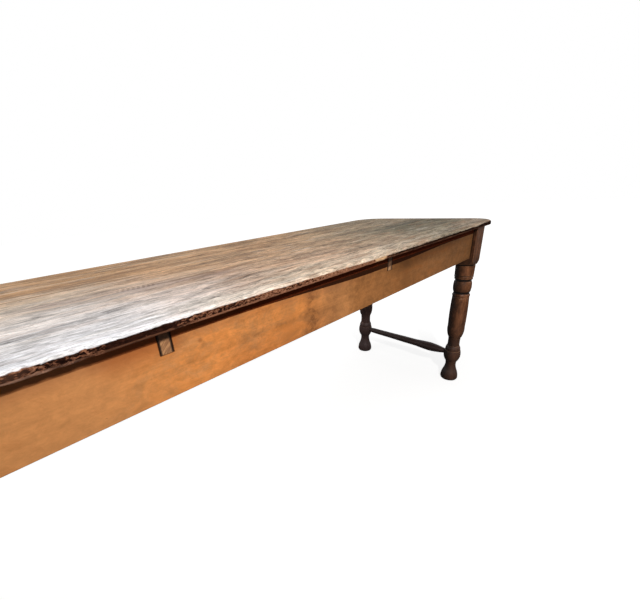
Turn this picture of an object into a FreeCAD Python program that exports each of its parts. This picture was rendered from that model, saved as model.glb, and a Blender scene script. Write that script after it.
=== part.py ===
import FreeCAD, Part
import math
import os

from FreeCAD import Vector

# Farmhouse table: a jointed plank top on a pegged frame of aprons, turned legs and
# cross bearers, with a turned stretcher low down between the legs of each end.
# Millimetres. X runs along the table, Y across it from front to back, and Z up.
# The origin is on the floor under the middle of the top.

# Overall sizes
table_length = 2230.0
table_width = 660.0
table_height = 775.0

# Plank top
top_thickness = 16.0
top_corner_radius = 110.0
top_worn_arris = 8.0
top_lower_arris = 1.5
board_width_shares = (0.26, 0.24, 0.27, 0.23)
tongue_thickness = 5.0
tongue_length = 8.0
tongue_clearance = 0.25
seam_wear = 1.4

# Leg places, from the edges of the top to the axis of each leg
leg_end_inset = 83.0
leg_side_inset = 75.0

# Square block at the top of each leg
leg_stock = 80.0
block_length = 168.0
block_shoulder = 34.0
block_arris = 3.5

# Turned part of each leg
foot_diameter = 78.0
foot_base_diameter = 70.0
neck_diameter = 46.5
ball_diameter = 75.0
cove_diameter = 52.0
baluster_diameter = 75.5
collar_diameter = 78.5

# Aprons
apron_height = 138.0
apron_thickness = 25.0
apron_recess = 15.0
apron_arris = 1.5

# Mortise and tenon joints between aprons and legs
tenon_thickness = 9.0
tenon_shoulder = 12.0
haunch_height = 26.0
haunch_length = 11.0
mitre_gap = 1.0
mortise_clearance = 0.2
peg_diameter = 8.0
peg_length = 52.0
peg_inset = 20.0
peg_clearance = 0.1
peg_height_shares = (0.24, 0.76)

# End stretchers, level with the middle of the balls of the legs
stretcher_height = 142.0
stretcher_tenon_diameter = 26.0
stretcher_swell_diameter = 45.0
stretcher_stub = 5.0
stretcher_clearance = 0.2
stretcher_peg_diameter = 6.5

# Cross bearers, let into notches in the upper edges of the long aprons
bearer_spacing = 686.0
bearer_width = 20.0
bearer_depth = 55.0
notch_gap = 1.2
opened_notch_gap = 4.5

# Screws that hold the boards down on the bearers
screw_diameter = 5.0
screw_head_diameter = 9.0
screw_head_height = 3.0
screw_bite = 11.0
screw_seat = 18.0
screw_clearance = 0.2
counterbore_clearance = 1.0

# Blocks glued into the corners between the aprons and the top
glue_block_size = 30.0
glue_block_length = 90.0
glue_block_chamfer = 14.0

# One overrun for every cut that passes a face
overrun = 5.0

# Turned outline of the foot: level as a share of the height of the ball, radius as a
# share of the way from the neck to the widest foot, and bow as a share of the ball's height
foot_shares = (
    (0.10, 1.00, 0.012),
    (0.31, 0.61, 0.008),
    (0.57, 0.00, -0.010),
)

# Turned outline of the baluster and the rings above it: level as a share of the rise
# from the ball to the block, then radius and bow as shares of the baluster's radius
baluster_shares = (
    (0.2085, 0.790, 0.000),
    (0.3270, 0.970, 0.080),
    (0.6480, 0.940, 0.042),
    (0.6520, 0.912, 0.000),
    (0.6560, 0.940, 0.000),
    (0.6670, 0.920, 0.000),
    (0.6890, 0.935, 0.050),
    (0.6990, 0.870, 0.000),
    (0.7110, 0.870, 0.000),
    (0.7190, 0.940, 0.000),
    (0.8220, 0.950, 0.062),
    (0.8290, 0.880, 0.000),
    (0.8420, 0.880, 0.000),
    (0.8460, 0.975, 0.000),
    (0.8630, 0.985, 0.000),
    (0.8650, 0.965, 0.000),
    (0.8690, 1.000, 0.000),
    (0.8820, 1.010, 0.030),
    (0.8850, 0.985, 0.000),
    (0.8890, 1.020, 0.000),
)

# Turned outline of an end stretcher: place as a share of the way from the front leg to
# the back leg, then radius and bow as shares of the swell's radius
stretcher_shares = (
    (0.225, 1.000, 0.075),
    (0.365, 0.790, 0.025),
    (0.500, 0.765, 0.000),
    (0.660, 0.690, 0.000),
    (0.880, 0.645, 0.000),
)

# Levels and places that follow from the sizes above
underside = table_height - top_thickness
apron_bottom = underside - apron_height
block_bottom = underside - block_length
leg_x = table_length / 2 - leg_end_inset
leg_y = table_width / 2 - leg_side_inset
half_stock = leg_stock / 2
apron_outer = half_stock - apron_recess
apron_inner = apron_outer - apron_thickness
tenon_outer = apron_outer - (apron_thickness - tenon_thickness) / 2
tenon_inner = tenon_outer - tenon_thickness
tenon_bottom = apron_bottom + tenon_shoulder
tenon_top = underside - haunch_height
ball_radius = ball_diameter / 2
bearer_x = bearer_spacing / 2
centre = Vector(0, 0, 0)
along_x = Vector(1, 0, 0)
along_y = Vector(0, 1, 0)
upwards = Vector(0, 0, 1)
sides = (-1, 1)
side_names = {("x", -1): "left", ("x", 1): "right", ("y", -1): "front", ("y", 1): "back"}


# Basic solids

def box(x_low, x_high, y_low, y_high, z_low, z_high):
    """A box between two corners."""
    corner = Vector(x_low, y_low, z_low)
    return Part.makeBox(x_high - x_low, y_high - y_low, z_high - z_low, corner)


def centred_box(x, y, length, width, z_low, z_high):
    """A box about the middle of its plan."""
    return box(x - length / 2, x + length / 2, y - width / 2, y + width / 2, z_low, z_high)


def prism(points, direction):
    """A straight-sided solid, from its outline and the way that it is extruded."""
    return Part.Face(Part.makePolygon(points + points[:1])).extrude(direction)


def rod(start, end, diameter):
    """A round rod between two points."""
    return Part.makeCylinder(diameter / 2, (end - start).Length, start, end - start)


def turned(rows, origin, along):
    """A solid turned about a line along Y or Z.

    Each row is a place along the line, a radius, and how far the way there bows
    outwards, as an arc, from a straight line.
    """
    def point(place, radius):
        return origin + along * place + along_x * radius

    first_place, first_radius, _ = rows[0]
    last_place, last_radius, _ = rows[-1]
    edges = [Part.makeLine(point(first_place, 0), point(first_place, first_radius))]
    for (place, radius, _), (next_place, next_radius, bow) in zip(rows, rows[1:]):
        start = point(place, radius)
        end = point(next_place, next_radius)
        if bow == 0:
            edges.append(Part.makeLine(start, end))
            continue
        run = math.hypot(next_place - place, next_radius - radius)
        middle_place = (place + next_place) / 2 - bow * (next_radius - radius) / run
        middle_radius = (radius + next_radius) / 2 + bow * (next_place - place) / run
        edges.append(Part.Arc(start, point(middle_place, middle_radius), end).toShape())
    edges.append(Part.makeLine(point(last_place, last_radius), point(last_place, 0)))
    edges.append(Part.makeLine(point(last_place, 0), point(first_place, 0)))
    return Part.Face(Part.Wire(edges)).revolve(origin, along, 360)


def upright_edges(solid):
    """The edges of a block that stand upright."""
    return [edge for edge in solid.Edges if abs(edge.tangentAt(edge.FirstParameter).z) > 0.5]


def at_corner(solid, x_side, y_side):
    """A solid made for the back right corner, mirrored to any of the four corners."""
    if x_side < 0:
        solid = solid.mirror(centre, along_x)
    if y_side < 0:
        solid = solid.mirror(centre, along_y)
    return solid


def leg_point(outwards_x, outwards_y, z):
    """A point about the axis of the back right leg."""
    return Vector(leg_x + outwards_x, leg_y + outwards_y, z)


# Plank top

def board_edges():
    """Where the boards start and end across the table, from the front."""
    places = [-table_width / 2]
    for share in board_width_shares:
        places.append(places[-1] + share * table_width)
    return places


def top_slab():
    """The whole top before it is parted into boards."""
    slab = centred_box(0, 0, table_length, table_width, underside, table_height)
    slab = slab.makeFillet(top_corner_radius, upright_edges(slab))
    face = max(slab.Faces, key=lambda item: item.CenterOfMass.z)
    slab = slab.makeFillet(top_worn_arris, face.Edges)
    face = min(slab.Faces, key=lambda item: item.CenterOfMass.z)
    return slab.makeChamfer(top_lower_arris, face.Edges)


def tongue_space(seam, clearance):
    """The tongue that crosses a seam, or its groove, with its root inside the board."""
    middle = underside + top_thickness / 2
    low = middle - tongue_thickness / 2 - clearance
    high = middle + tongue_thickness / 2 + clearance
    end = table_length / 2 + overrun
    return box(-end, end, seam - overrun, seam + tongue_length + clearance, low, high)


def seam_cut(seam):
    """The worn hollow along a seam in the face of the top."""
    end = table_length / 2 + overrun
    spread = seam_wear + overrun
    points = [
        Vector(-end, seam - spread, table_height + overrun),
        Vector(-end, seam, table_height - seam_wear),
        Vector(-end, seam + spread, table_height + overrun),
    ]
    return prism(points, along_x * (2 * end))


def top_boards():
    """The boards, each with a tongue on its back edge and a groove in its front edge."""
    slab = top_slab()
    places = board_edges()
    end = table_length / 2 + overrun
    boards = []
    for index, (front, back) in enumerate(zip(places, places[1:])):
        has_groove = index > 0
        has_tongue = index < len(board_width_shares) - 1
        low = front if has_groove else front - overrun
        high = back if has_tongue else back + overrun
        board = slab.common(box(-end, end, low, high, underside - overrun, table_height + overrun))
        if has_tongue:
            board = board.fuse(slab.common(tongue_space(back, 0))).cut(seam_cut(back))
        if has_groove:
            board = board.cut(tongue_space(front, tongue_clearance)).cut(seam_cut(front))
        boards.append(board.removeSplitter())
    return boards


# Turned legs

def leg_rows():
    """The turned outline of a leg, from the floor up to the block."""
    neck = neck_diameter / 2
    foot_rise = foot_diameter / 2 - neck
    rows = [(0, foot_base_diameter / 2, 0)]
    for level_share, radius_share, bow_share in foot_shares:
        radius = neck + radius_share * foot_rise
        rows.append((level_share * stretcher_height, radius, bow_share * stretcher_height))

    # The ball, drawn out below its middle, with a ridge above it
    rim_share, reach_share, belly_share = 1.05, 1.17, 0.11
    ridge_level_share, ridge_share, ridge_bow_share, quirk_share = 0.49, 0.93, 0.012, 0.05
    quirk = quirk_share * ball_radius
    ridge = ridge_share * ball_radius
    ridge_level = stretcher_height + ridge_level_share * ball_radius
    rows.append((stretcher_height - reach_share * ball_radius, rim_share * neck, 0))
    rows.append((stretcher_height, ball_radius, belly_share * ball_radius))
    rows.append((ridge_level, ridge, ridge_bow_share * ball_radius))
    rows.append((ridge_level + quirk / 2, ridge - quirk, 0))

    # The cap above the ridge, and the cove between it and the baluster
    rise = block_bottom - stretcher_height
    cove = cove_diameter / 2
    cap_level_share, cap_share, cap_bow_share = 1.12, 1.09, 0.048
    cove_foot_share, cove_top_share, cove_flare_share, cove_bow_share = 1.02, 0.200, 1.03, 0.035
    cap_level = stretcher_height + cap_level_share * ball_radius
    rows.append((cap_level, cap_share * cove, cap_bow_share * ball_radius))
    rows.append((cap_level + quirk, cove_foot_share * cove, 0))
    cove_bow = -cove_bow_share * cove
    rows.append((stretcher_height + cove_top_share * rise, cove_flare_share * cove, cove_bow))

    # The baluster, its rings, and the collar under the block
    baluster = baluster_diameter / 2
    for level_share, radius_share, bow_share in baluster_shares:
        level = stretcher_height + level_share * rise
        rows.append((level, radius_share * baluster, bow_share * baluster))
    collar = collar_diameter / 2
    collar_top_share, groove_share, groove_radius_share, neck_in_share = 0.989, 0.995, 0.925, 0.935
    rows.append((stretcher_height + collar_top_share * rise, collar, 0))
    rows.append((stretcher_height + groove_share * rise, groove_radius_share * collar, 0))
    rows.append((block_bottom, neck_in_share * collar, 0))
    return rows


def leg_blank():
    """A leg about the Z axis, before its mortises are cut."""
    block = centred_box(0, 0, leg_stock, leg_stock, block_bottom, underside)
    block = block.makeFillet(block_arris, upright_edges(block))
    lower_share, bow_share = 1.07, 0.13
    corner = half_stock * math.sqrt(2)
    rows = [
        (block_bottom, lower_share * half_stock, 0),
        (block_bottom + block_shoulder, corner, bow_share * block_shoulder),
        (underside + overrun, corner, 0),
    ]
    block = block.common(turned(rows, centre, upwards))
    return block.fuse(turned(leg_rows(), centre, upwards)).removeSplitter()


# Joints between an apron and the back right leg, with places measured from its axis.
# The long apron runs along X, and swapping the two directions gives the end apron.

def corner_prism(plan, low, high, swapped):
    """A prism from plan places outwards of the leg's axis."""
    if swapped:
        plan = [(second, first) for first, second in plan]
    points = [leg_point(first, second, low) for first, second in plan]
    return prism(points, upwards * (high - low))


def tenon(swapped):
    """A mitred tenon with a haunch above it."""
    root = -half_stock - overrun
    plan = [
        (root, tenon_inner),
        (root, tenon_outer),
        (tenon_outer - mitre_gap, tenon_outer),
        (tenon_inner - mitre_gap, tenon_inner),
    ]
    stop = -half_stock + haunch_length
    haunch = [(root, tenon_inner), (root, tenon_outer), (stop, tenon_outer), (stop, tenon_inner)]
    body = corner_prism(plan, tenon_bottom, tenon_top, swapped)
    return body.fuse(corner_prism(haunch, tenon_bottom, underside, swapped)).removeSplitter()


def mortise(swapped):
    """The room that a tenon and its haunch need in the leg."""
    root = -half_stock - overrun
    low = tenon_inner - mortise_clearance
    high = tenon_outer + mortise_clearance
    plan = [(root, low), (root, high), (high, high), (low, low)]
    stop = -half_stock + haunch_length + mortise_clearance
    haunch = [(root, low), (root, high), (stop, high), (stop, low)]
    floor = tenon_bottom - mortise_clearance
    body = corner_prism(plan, floor, tenon_top + mortise_clearance, swapped)
    return body.fuse(corner_prism(haunch, floor, underside + overrun, swapped))


def joint_pegs(swapped, clearance, beyond):
    """The pegs through a joint, or with clearance and overrun their holes."""
    pegs = []
    for share in peg_height_shares:
        z = tenon_bottom + share * (tenon_top - tenon_bottom)
        place = -half_stock + peg_inset
        outer = (place, half_stock + beyond)
        inner = (place, half_stock - peg_length - clearance)
        if swapped:
            outer = outer[::-1]
            inner = inner[::-1]
        start = leg_point(inner[0], inner[1], z)
        end = leg_point(outer[0], outer[1], z)
        pegs.append(rod(start, end, peg_diameter + 2 * clearance))
    return pegs


# Stretcher joints, in the ball of the back right leg

stretcher_tip_share = 0.30
stretcher_tip = stretcher_tip_share * ball_radius


def stretcher_hole():
    """The round mortise in the ball."""
    start = leg_point(0, -stretcher_tip + stretcher_clearance, stretcher_height)
    end = leg_point(0, -ball_radius - overrun, stretcher_height)
    return rod(start, end, stretcher_tenon_diameter + 2 * stretcher_clearance)


def stretcher_peg(clearance):
    """The peg through the ball and the tenon, or with clearance its hole."""
    place = -(stretcher_tip + ball_radius) / 2
    start = leg_point(-ball_radius / 2 - clearance, place, stretcher_height)
    end = leg_point(ball_radius + overrun, place, stretcher_height)
    return rod(start, end, stretcher_peg_diameter + 2 * clearance)


def leg():
    """The back right leg."""
    solid = leg_blank()
    solid.translate(leg_point(0, 0, 0))
    for swapped in (False, True):
        solid = solid.cut(mortise(swapped))
        for hole in joint_pegs(swapped, peg_clearance, overrun):
            solid = solid.cut(hole)
    return solid.cut(stretcher_hole()).cut(stretcher_peg(peg_clearance))


# Aprons

def apron_section(outer):
    """The section of an apron as places across it and heights, with worn lower arrises."""
    inner = outer - apron_thickness
    return [
        (inner, underside),
        (outer, underside),
        (outer, apron_bottom + apron_arris),
        (outer - apron_arris, apron_bottom),
        (inner + apron_arris, apron_bottom),
        (inner, apron_bottom + apron_arris),
    ]


def notch(x, left_gap, right_gap):
    """The notch for the end of a bearer in the back apron."""
    low = x - bearer_width / 2 - left_gap
    high = x + bearer_width / 2 + right_gap
    front = leg_y + apron_inner - overrun
    back = leg_y + apron_outer + overrun
    return box(low, high, front, back, underside - bearer_depth, underside + overrun)


def long_apron(left_gaps, right_gaps):
    """The back apron, with the gaps beside each bearer in its notch."""
    end = leg_x - half_stock
    points = [Vector(-end, y, z) for y, z in apron_section(leg_y + apron_outer)]
    solid = prism(points, along_x * (2 * end))
    for x_side in sides:
        joint = at_corner(tenon(False), x_side, 1)
        solid = solid.fuse(joint)
    solid = solid.removeSplitter()
    for x_side in sides:
        for hole in joint_pegs(False, peg_clearance, overrun):
            solid = solid.cut(at_corner(hole, x_side, 1))
    solid = solid.cut(notch(-bearer_x, *left_gaps))
    return solid.cut(notch(bearer_x, *right_gaps))


def end_apron():
    """The right end apron."""
    end = leg_y - half_stock
    points = [Vector(x, -end, z) for x, z in apron_section(leg_x + apron_outer)]
    solid = prism(points, along_y * (2 * end))
    for y_side in sides:
        solid = solid.fuse(at_corner(tenon(True), 1, y_side))
    solid = solid.removeSplitter()
    for y_side in sides:
        for hole in joint_pegs(True, peg_clearance, overrun):
            solid = solid.cut(at_corner(hole, 1, y_side))
    return solid


# End stretchers

def end_stretcher():
    """The right end stretcher, swelled near the front leg and slender towards the back one."""
    tip_chamfer_share = 0.08
    tenon_radius = stretcher_tenon_diameter / 2
    swell = stretcher_swell_diameter / 2
    chamfer = tip_chamfer_share * tenon_radius
    tip = leg_y - stretcher_tip
    shoulder = leg_y - ball_radius - stretcher_stub
    rows = [
        (-tip, tenon_radius - chamfer, 0),
        (-tip + chamfer, tenon_radius, 0),
        (-shoulder, tenon_radius, 0),
    ]
    for place_share, radius_share, bow_share in stretcher_shares:
        rows.append((leg_y * (2 * place_share - 1), radius_share * swell, bow_share * swell))
    rows.append((shoulder, tenon_radius, 0))
    rows.append((tip - chamfer, tenon_radius, 0))
    rows.append((tip, tenon_radius - chamfer, 0))
    solid = turned(rows, Vector(leg_x, 0, stretcher_height), along_y)
    for y_side in sides:
        solid = solid.cut(at_corner(stretcher_peg(peg_clearance), 1, y_side))
    return solid


# Cross bearers and the screws through them

def screw_places():
    """Where the screws stand across the table, one to a board between the aprons."""
    reach = leg_y + apron_inner
    places = board_edges()
    return [(max(low, -reach) + min(high, reach)) / 2 for low, high in zip(places, places[1:])]


def screw_hole(x, y):
    """The hole of one screw through a bearer and into a board."""
    foot = underside - bearer_depth - overrun
    seat = underside - screw_seat
    tip = underside + screw_bite + screw_clearance
    wide = rod(Vector(x, y, foot), Vector(x, y, seat), screw_head_diameter + 2 * counterbore_clearance)
    return wide.fuse(rod(Vector(x, y, foot), Vector(x, y, tip), screw_diameter + 2 * screw_clearance))


def screw(x, y):
    """One screw with its head against the seat in the bearer."""
    seat = Vector(x, y, underside - screw_seat)
    head = rod(seat - upwards * screw_head_height, seat, screw_head_diameter)
    return head.fuse(rod(seat, Vector(x, y, underside + screw_bite), screw_diameter)).removeSplitter()


def bearer(x):
    """One bearer, as long as the frame is wide, with its ends level with the aprons."""
    width = 2 * (leg_y + apron_outer)
    solid = centred_box(x, 0, bearer_width, width, underside - bearer_depth, underside)
    for y in screw_places():
        solid = solid.cut(screw_hole(x, y))
    return solid


# Glue blocks

def glue_block_section(inner):
    """The section of a glue block as places across it and heights."""
    size = glue_block_size
    cut = size - glue_block_chamfer
    return [
        (inner, underside),
        (inner - size, underside),
        (inner - size, underside - cut),
        (inner - cut, underside - size),
        (inner, underside - size),
    ]


def glue_blocks():
    """Blocks in each bay of the long aprons and in the middle of the end aprons."""
    blocks = []
    start = glue_block_length / 2
    bay = (bearer_x + leg_x - half_stock) / 2
    section = glue_block_section(leg_y + apron_inner)
    for x in (-bay, 0, bay):
        points = [Vector(x - start, y, z) for y, z in section]
        block = prism(points, along_x * glue_block_length)
        blocks += [at_corner(block, 1, y_side) for y_side in sides]
    points = [Vector(x, -start, z) for x, z in glue_block_section(leg_x + apron_inner)]
    block = prism(points, along_y * glue_block_length)
    return blocks + [at_corner(block, x_side, 1) for x_side in sides]


# Every piece under its own name

def all_nodes():
    """Names and shapes of all the pieces."""
    nodes = {}
    holes = [screw_hole(side * bearer_x, y) for side in sides for y in screw_places()]
    for number, board in enumerate(top_boards(), start=1):
        for hole in holes:
            board = board.cut(hole)
        nodes[f"top_board_{number}"] = board

    right_leg = leg()
    stretcher = end_stretcher()
    apron = end_apron()
    for x_side in sides:
        side = side_names["x", x_side]
        for y_side in sides:
            name = f"{side_names['y', y_side]}_{side}_leg"
            nodes[name] = at_corner(right_leg, x_side, y_side)
        nodes[f"{side}_end_stretcher"] = at_corner(stretcher, x_side, 1)
        nodes[f"{side}_end_apron"] = at_corner(apron, x_side, 1)
        nodes[f"{side}_bearer"] = bearer(x_side * bearer_x)

    even_gaps = (notch_gap, notch_gap)
    opened_gaps = (opened_notch_gap, notch_gap)
    nodes["back_apron"] = long_apron(even_gaps, even_gaps)
    nodes["front_apron"] = at_corner(long_apron(even_gaps, opened_gaps), 1, -1)

    apron_pegs = joint_pegs(False, 0, 0) + joint_pegs(True, 0, 0)
    ball = turned(leg_rows(), leg_point(0, 0, 0), upwards)
    ball_peg = stretcher_peg(0).common(ball)
    corners = [(x_side, y_side) for x_side in sides for y_side in sides]
    nodes["apron_pegs"] = Part.makeCompound(
        [at_corner(peg, *corner) for corner in corners for peg in apron_pegs]
    )
    nodes["stretcher_pegs"] = Part.makeCompound([at_corner(ball_peg, *corner) for corner in corners])
    nodes["bearer_screws"] = Part.makeCompound(
        [screw(side * bearer_x, y) for side in sides for y in screw_places()]
    )
    nodes["glue_blocks"] = Part.makeCompound(glue_blocks())
    return nodes


os.makedirs("parts", exist_ok=True)
for node_name, shape in all_nodes().items():
    solids = shape.Solids
    if not solids or not all(solid.isValid() and solid.Volume > 0 for solid in solids):
        raise ValueError(f"{node_name} is not a sound solid")
    shape.exportStep(f"parts/{node_name}.step")
    print(node_name, len(solids), "solids", round(shape.Volume), "cubic millimetres")
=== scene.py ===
import math
from types import SimpleNamespace

import bmesh
import bpy
from mathutils import Matrix, Vector, noise


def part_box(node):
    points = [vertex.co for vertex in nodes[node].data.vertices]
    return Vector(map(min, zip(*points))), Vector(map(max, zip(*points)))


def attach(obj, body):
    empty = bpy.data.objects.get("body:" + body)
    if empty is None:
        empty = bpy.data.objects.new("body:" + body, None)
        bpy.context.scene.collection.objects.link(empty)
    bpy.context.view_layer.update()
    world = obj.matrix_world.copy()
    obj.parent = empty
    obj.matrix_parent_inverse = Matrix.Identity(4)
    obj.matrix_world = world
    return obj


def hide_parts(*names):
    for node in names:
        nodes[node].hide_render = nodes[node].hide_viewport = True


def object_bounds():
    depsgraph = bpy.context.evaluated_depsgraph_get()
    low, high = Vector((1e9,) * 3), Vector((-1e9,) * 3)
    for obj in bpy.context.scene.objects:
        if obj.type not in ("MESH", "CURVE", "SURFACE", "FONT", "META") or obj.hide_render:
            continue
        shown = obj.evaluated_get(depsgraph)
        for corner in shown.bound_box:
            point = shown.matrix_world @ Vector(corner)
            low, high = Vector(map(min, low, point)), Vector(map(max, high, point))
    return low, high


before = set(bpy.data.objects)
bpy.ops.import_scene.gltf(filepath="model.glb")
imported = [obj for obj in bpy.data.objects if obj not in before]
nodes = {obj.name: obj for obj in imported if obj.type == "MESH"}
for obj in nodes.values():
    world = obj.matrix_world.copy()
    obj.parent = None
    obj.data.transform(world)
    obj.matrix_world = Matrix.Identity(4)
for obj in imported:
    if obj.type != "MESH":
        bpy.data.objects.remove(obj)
cad_low, cad_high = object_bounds()

# The camera, fitted to the outlines of the table.
image_width = 640
image_height = 600
camera_place = Vector((-0.4984, -0.7614, 0.9295))
camera_yaw = math.radians(49.605)
camera_pitch = math.radians(22.997)
camera_roll = math.radians(4.656)
focal_pixels = 313.43
principal_point = (283.05, 329.07)
sensor_width = 36.0
clip_start = 0.01

# Places read from the frame.
top_low, top_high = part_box("top_board_1")
top_level = top_high.z
underside = top_low.z
bearer_low, bearer_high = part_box("right_bearer")
bearer_middle = (bearer_low.x + bearer_high.x) / 2
bearer_half = (bearer_high.x - bearer_low.x) / 2
table_end = cad_high.x
table_side = cad_high.y

# The worn edge of the top, in metres. Faces within its reach of the outline are cut at every step
# and level, and their points are moved into chips and waves, which fade out towards the inside.
# A fractal is its dimension, lacunarity and octaves.
corner_radius = 0.110
worn_height = 0.008
worn_reach = 0.0085
worn_step = 0.004
worn_levels = (0.7618, 0.7640, 0.7660)
wear_fade = (0.0078, 0.0045)
chip_depth = 0.0024
chip_slope = 0.7
chip_frequencies = (95, 95, 150)
chip_fractal = (0.9, 2.1, 4)
chip_limits = (0.28, 0.70)
cluster_frequency = 17
cluster_fractal = (1.0, 2.0, 2)
cluster_share = 0.6
rougher_right = (0.2, 0.5)
rougher_share = 0.12
wave_depth = 0.0009
wave_frequency = 13
weld_distance = 1e-6
flat_angle = 0.002
flat_normal = 0.995
smooth_angle = math.radians(38)
top_boards = ("top_board_1", "top_board_2", "top_board_3", "top_board_4")

# Lamps and surroundings.
white = (1.0, 1.0, 1.0, 1.0)
key_place = Vector((-0.25, -1.21, 1.30))
key_aim = Vector((0.1, -0.2, 0.60))
key_size = 0.08
key_power = 12.5
key_colour = (1.0, 0.97, 0.93)
sky_place = Vector((-0.5, 0.3, 2.9))
sky_aim = Vector((-0.2, 0.0, 0.7))
sky_size = 2.0
sky_power = 26.0
sky_colour = (1.0, 1.0, 1.0)
world_fill = 0.17
floor_size = 30.0
floor_roughness = 0.9
floor_tone = (0.25, 0.25, 0.25, 1.0)
floor_seen_tone = (0.6, 0.6, 0.6, 1.0)
floor_glow = (0.9, 2.6, 0.80, 1.0)


def tone(red, green, blue):
    """A colour given as it looks on a screen, turned into the linear values that shaders use."""
    def linear(value):
        share = value / 255
        return share / 12.92 if share <= 0.04045 else ((share + 0.055) / 1.055) ** 2.4
    return (linear(red), linear(green), linear(blue), 1.0)


# The tables below hold patches of colour. A row is a colour, the way it is blended, and the ramps
# whose product is its share. A ramp names what it runs along (a place in metres or a noise), then
# where it starts and ends, and for some also the shares it has there in place of 0 and 1. A ramp
# without limits is the named value itself. A noise is its scales along the three axes, its detail,
# its roughness and its distortion, and a strength is how much a noise makes a colour vary.

# The chipped varnish on the top's edge.
varnish = tone(20, 7, 4)
chip_noise = ((140, 140, 330), 5, 0.72, 0.2)
chip_cluster_noise = ((15, 15, 15), 3, 0.6)
chip_limit = 0.640
chip_limit_gains = (("clusters", -0.20), ("worn", -0.05), ("dark", 0.13), ("brown", -0.11))
dark_left = (-0.32, -0.36)
dark_right = (0.24, 0.34)
dark_fade = (-0.45, -0.42)
brown_left = (-0.34, -0.26, 0.0, 0.45)
brown_middle = (-0.10, 0.05, 0.0, 0.7)
brown_fade = (0.25, 0.23)
edge_scar = 0.212
scar_noise = -0.03
edge_patches = (
    # Thin varnish, faded at the left end and brown between the bearers.
    (tone(46, 23, 15), "MIX", ("chips", 0.35, 0.6)),
    (tone(96, 66, 52), "MIX", ("x", -0.50, -0.53, 0.0, 0.4)),
    (tone(76, 46, 32), "MIX", ("brown",), ("x", -0.1, 0.1, 0.1, 0.6)),
    # The rims of chips, bare wood inside them, and one fresh scar at the front.
    (tone(118, 76, 56), "MIX", ("over", -0.02, 0.025)),
    (tone(168, 124, 96), "MIX", ("over", 0.06, 0.13, 0.0, 0.7)),
    (tone(222, 182, 140), "MIX", ("ragged", 0.014, 0.004, 0.0, 0.9), ("in_front",)),
)

# The noises of the scrubbed top. Each board has its own part of the first five.
board_shift = (0.17, 0, 0.9)
board_noises = (
    ("bands", (4.6, 26, 26), 5, 0.62, 0.6),
    ("rows", (17, 85, 85), 5, 0.68, 1.0),
    ("marks", (48, 180, 180), 5, 0.72, 1.4),
    ("threads", (30, 420, 420), 3, 0.65, 0.4),
    ("wander", (15, 95, 95), 4, 0.62, 1.3),
)
hue_noise = ((7, 42, 42), 4, 0.6, 0.8, (3.1, 0, 0))
vein_noise = ((2.6, 95, 95), 4, 0.6, 0.5, (7.7, 0, 0))
broad_noise = ((2.3, 7, 7), 4, 0.6, 0.6)
wave_noise = ((11, 22, 22), 2, 0.55)
wave_width = 0.022

# The colours of the scrubbed top. Along and depth are x and y with some noise added.
drift_width = 0.30
along_drift = 1.3
band_drift = 0.10
# The front left is painted glare, pale and bluish, fading to sand towards the middle.
front_left_glare = tone(227, 228, 233)
top_sand = tone(192, 165, 143)
top_gold = tone(195, 154, 115)
top_tan = tone(194, 157, 122)
top_straw = tone(222, 200, 174)
top_glare = tone(236, 225, 212)
top_cream = tone(216, 199, 178)
sand_ramp = (-0.47, 0.0)
tan_ramp = (-0.40, 0.0)
cream_ramp = (-0.25, 0.0)
straw_ramps = ((-0.20, -0.60, 0.0, 0.95), (0.10, -0.02))
behind_ramp = (-0.34, 0.13)
strip_front = (-0.23, -0.31)
strip_right = (0.6, 0.25, 0.0, 0.8)
strip_left = (-0.40, -0.20)
greying_lag = (0.0, 0.25, 0.0, 0.20)
moss_place = (0.86, -0.10)
top_patches = (
    # Grey towards the right end: weathered wood, partly painted light falloff.
    (tone(158, 147, 126), "MIX", ("greying", 0.08, 0.72, 0.0, 0.95)),
    # Paler again at the back on the right, and at the front right corner.
    (tone(190, 164, 134), "MIX", ("along", 0.35, 0.55), ("y", -0.02, 0.08, 0.0, 0.45)),
    (tone(194, 173, 150), "MIX", ("along", 0.74, 0.94), ("depth", -0.20, -0.29, 0.0, 0.85)),
    # Mossy grey in the middle of the right end.
    (tone(108, 103, 84), "MIX", ("moss_along", 0.34, 0.12), ("moss_depth", 0.16, 0.05, 0.0, 0.9)),
)

# A worn seam that the photo shows on the left, greyed below its line and dotted with leaning dents.
seam_start = (-0.30, -0.067)
seam_slope = -0.16
dent_lean = -0.3
dent_frequency = 600
dent_offset = 0.006
seam_patches = (
    (tone(150, 134, 130), "MIX", ("below", -0.006, 0.004), ("below", 0.075, 0.020),
     ("x", -0.56, -0.46), ("x", -0.05, -0.15), ("rows", 0.38, 0.58, 0.15, 0.75)),
    (tone(104, 88, 84), "MIX", ("beside", 0.014, 0.008), ("dents", -0.4, 0.3), ("marks", 0.35, 0.5, 0.5, 1.0),
     ("x", -0.36, -0.33), ("x", -0.25, -0.28, 0.0, 0.55)),
)

# Streaks along the top's grain, more lively to the right.
lively_left = (-0.45, -0.05, 0.82, 1.08)
lively_right = (0.1, 0.5, 0.0, 0.15)
board_strengths = (("bands", 2.3), ("rows", 2.3), ("marks", 2.4), ("threads", 1.4))
streak_patches = (
    (tone(146, 108, 84), "MIX", ("hue", 0.50, 0.68, 0.0, 0.55), ("along", -0.4, 0.0, 0.4, 1.0)),
    (tone(206, 196, 186), "MIX", ("hue", 0.48, 0.30, 0.0, 0.35)),
)
crack_tone = tone(92, 78, 74)
crack_share = 0.55
crack_ramps = ((0.030, 0.006), (0.46, 0.60, 0.1, 0.9))
vein_ramps = ((0.15, -0.15), (-0.16, -0.02, 0.0, 0.45))
vein_least = 0.15
vein_patches = (
    (tone(134, 102, 78), "MIX", ("veins", 0.53, 0.62), ("vein_share",)),
    (tone(226, 200, 172), "MIX", ("veins", 0.45, 0.37), ("vein_share",)),
)

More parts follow.
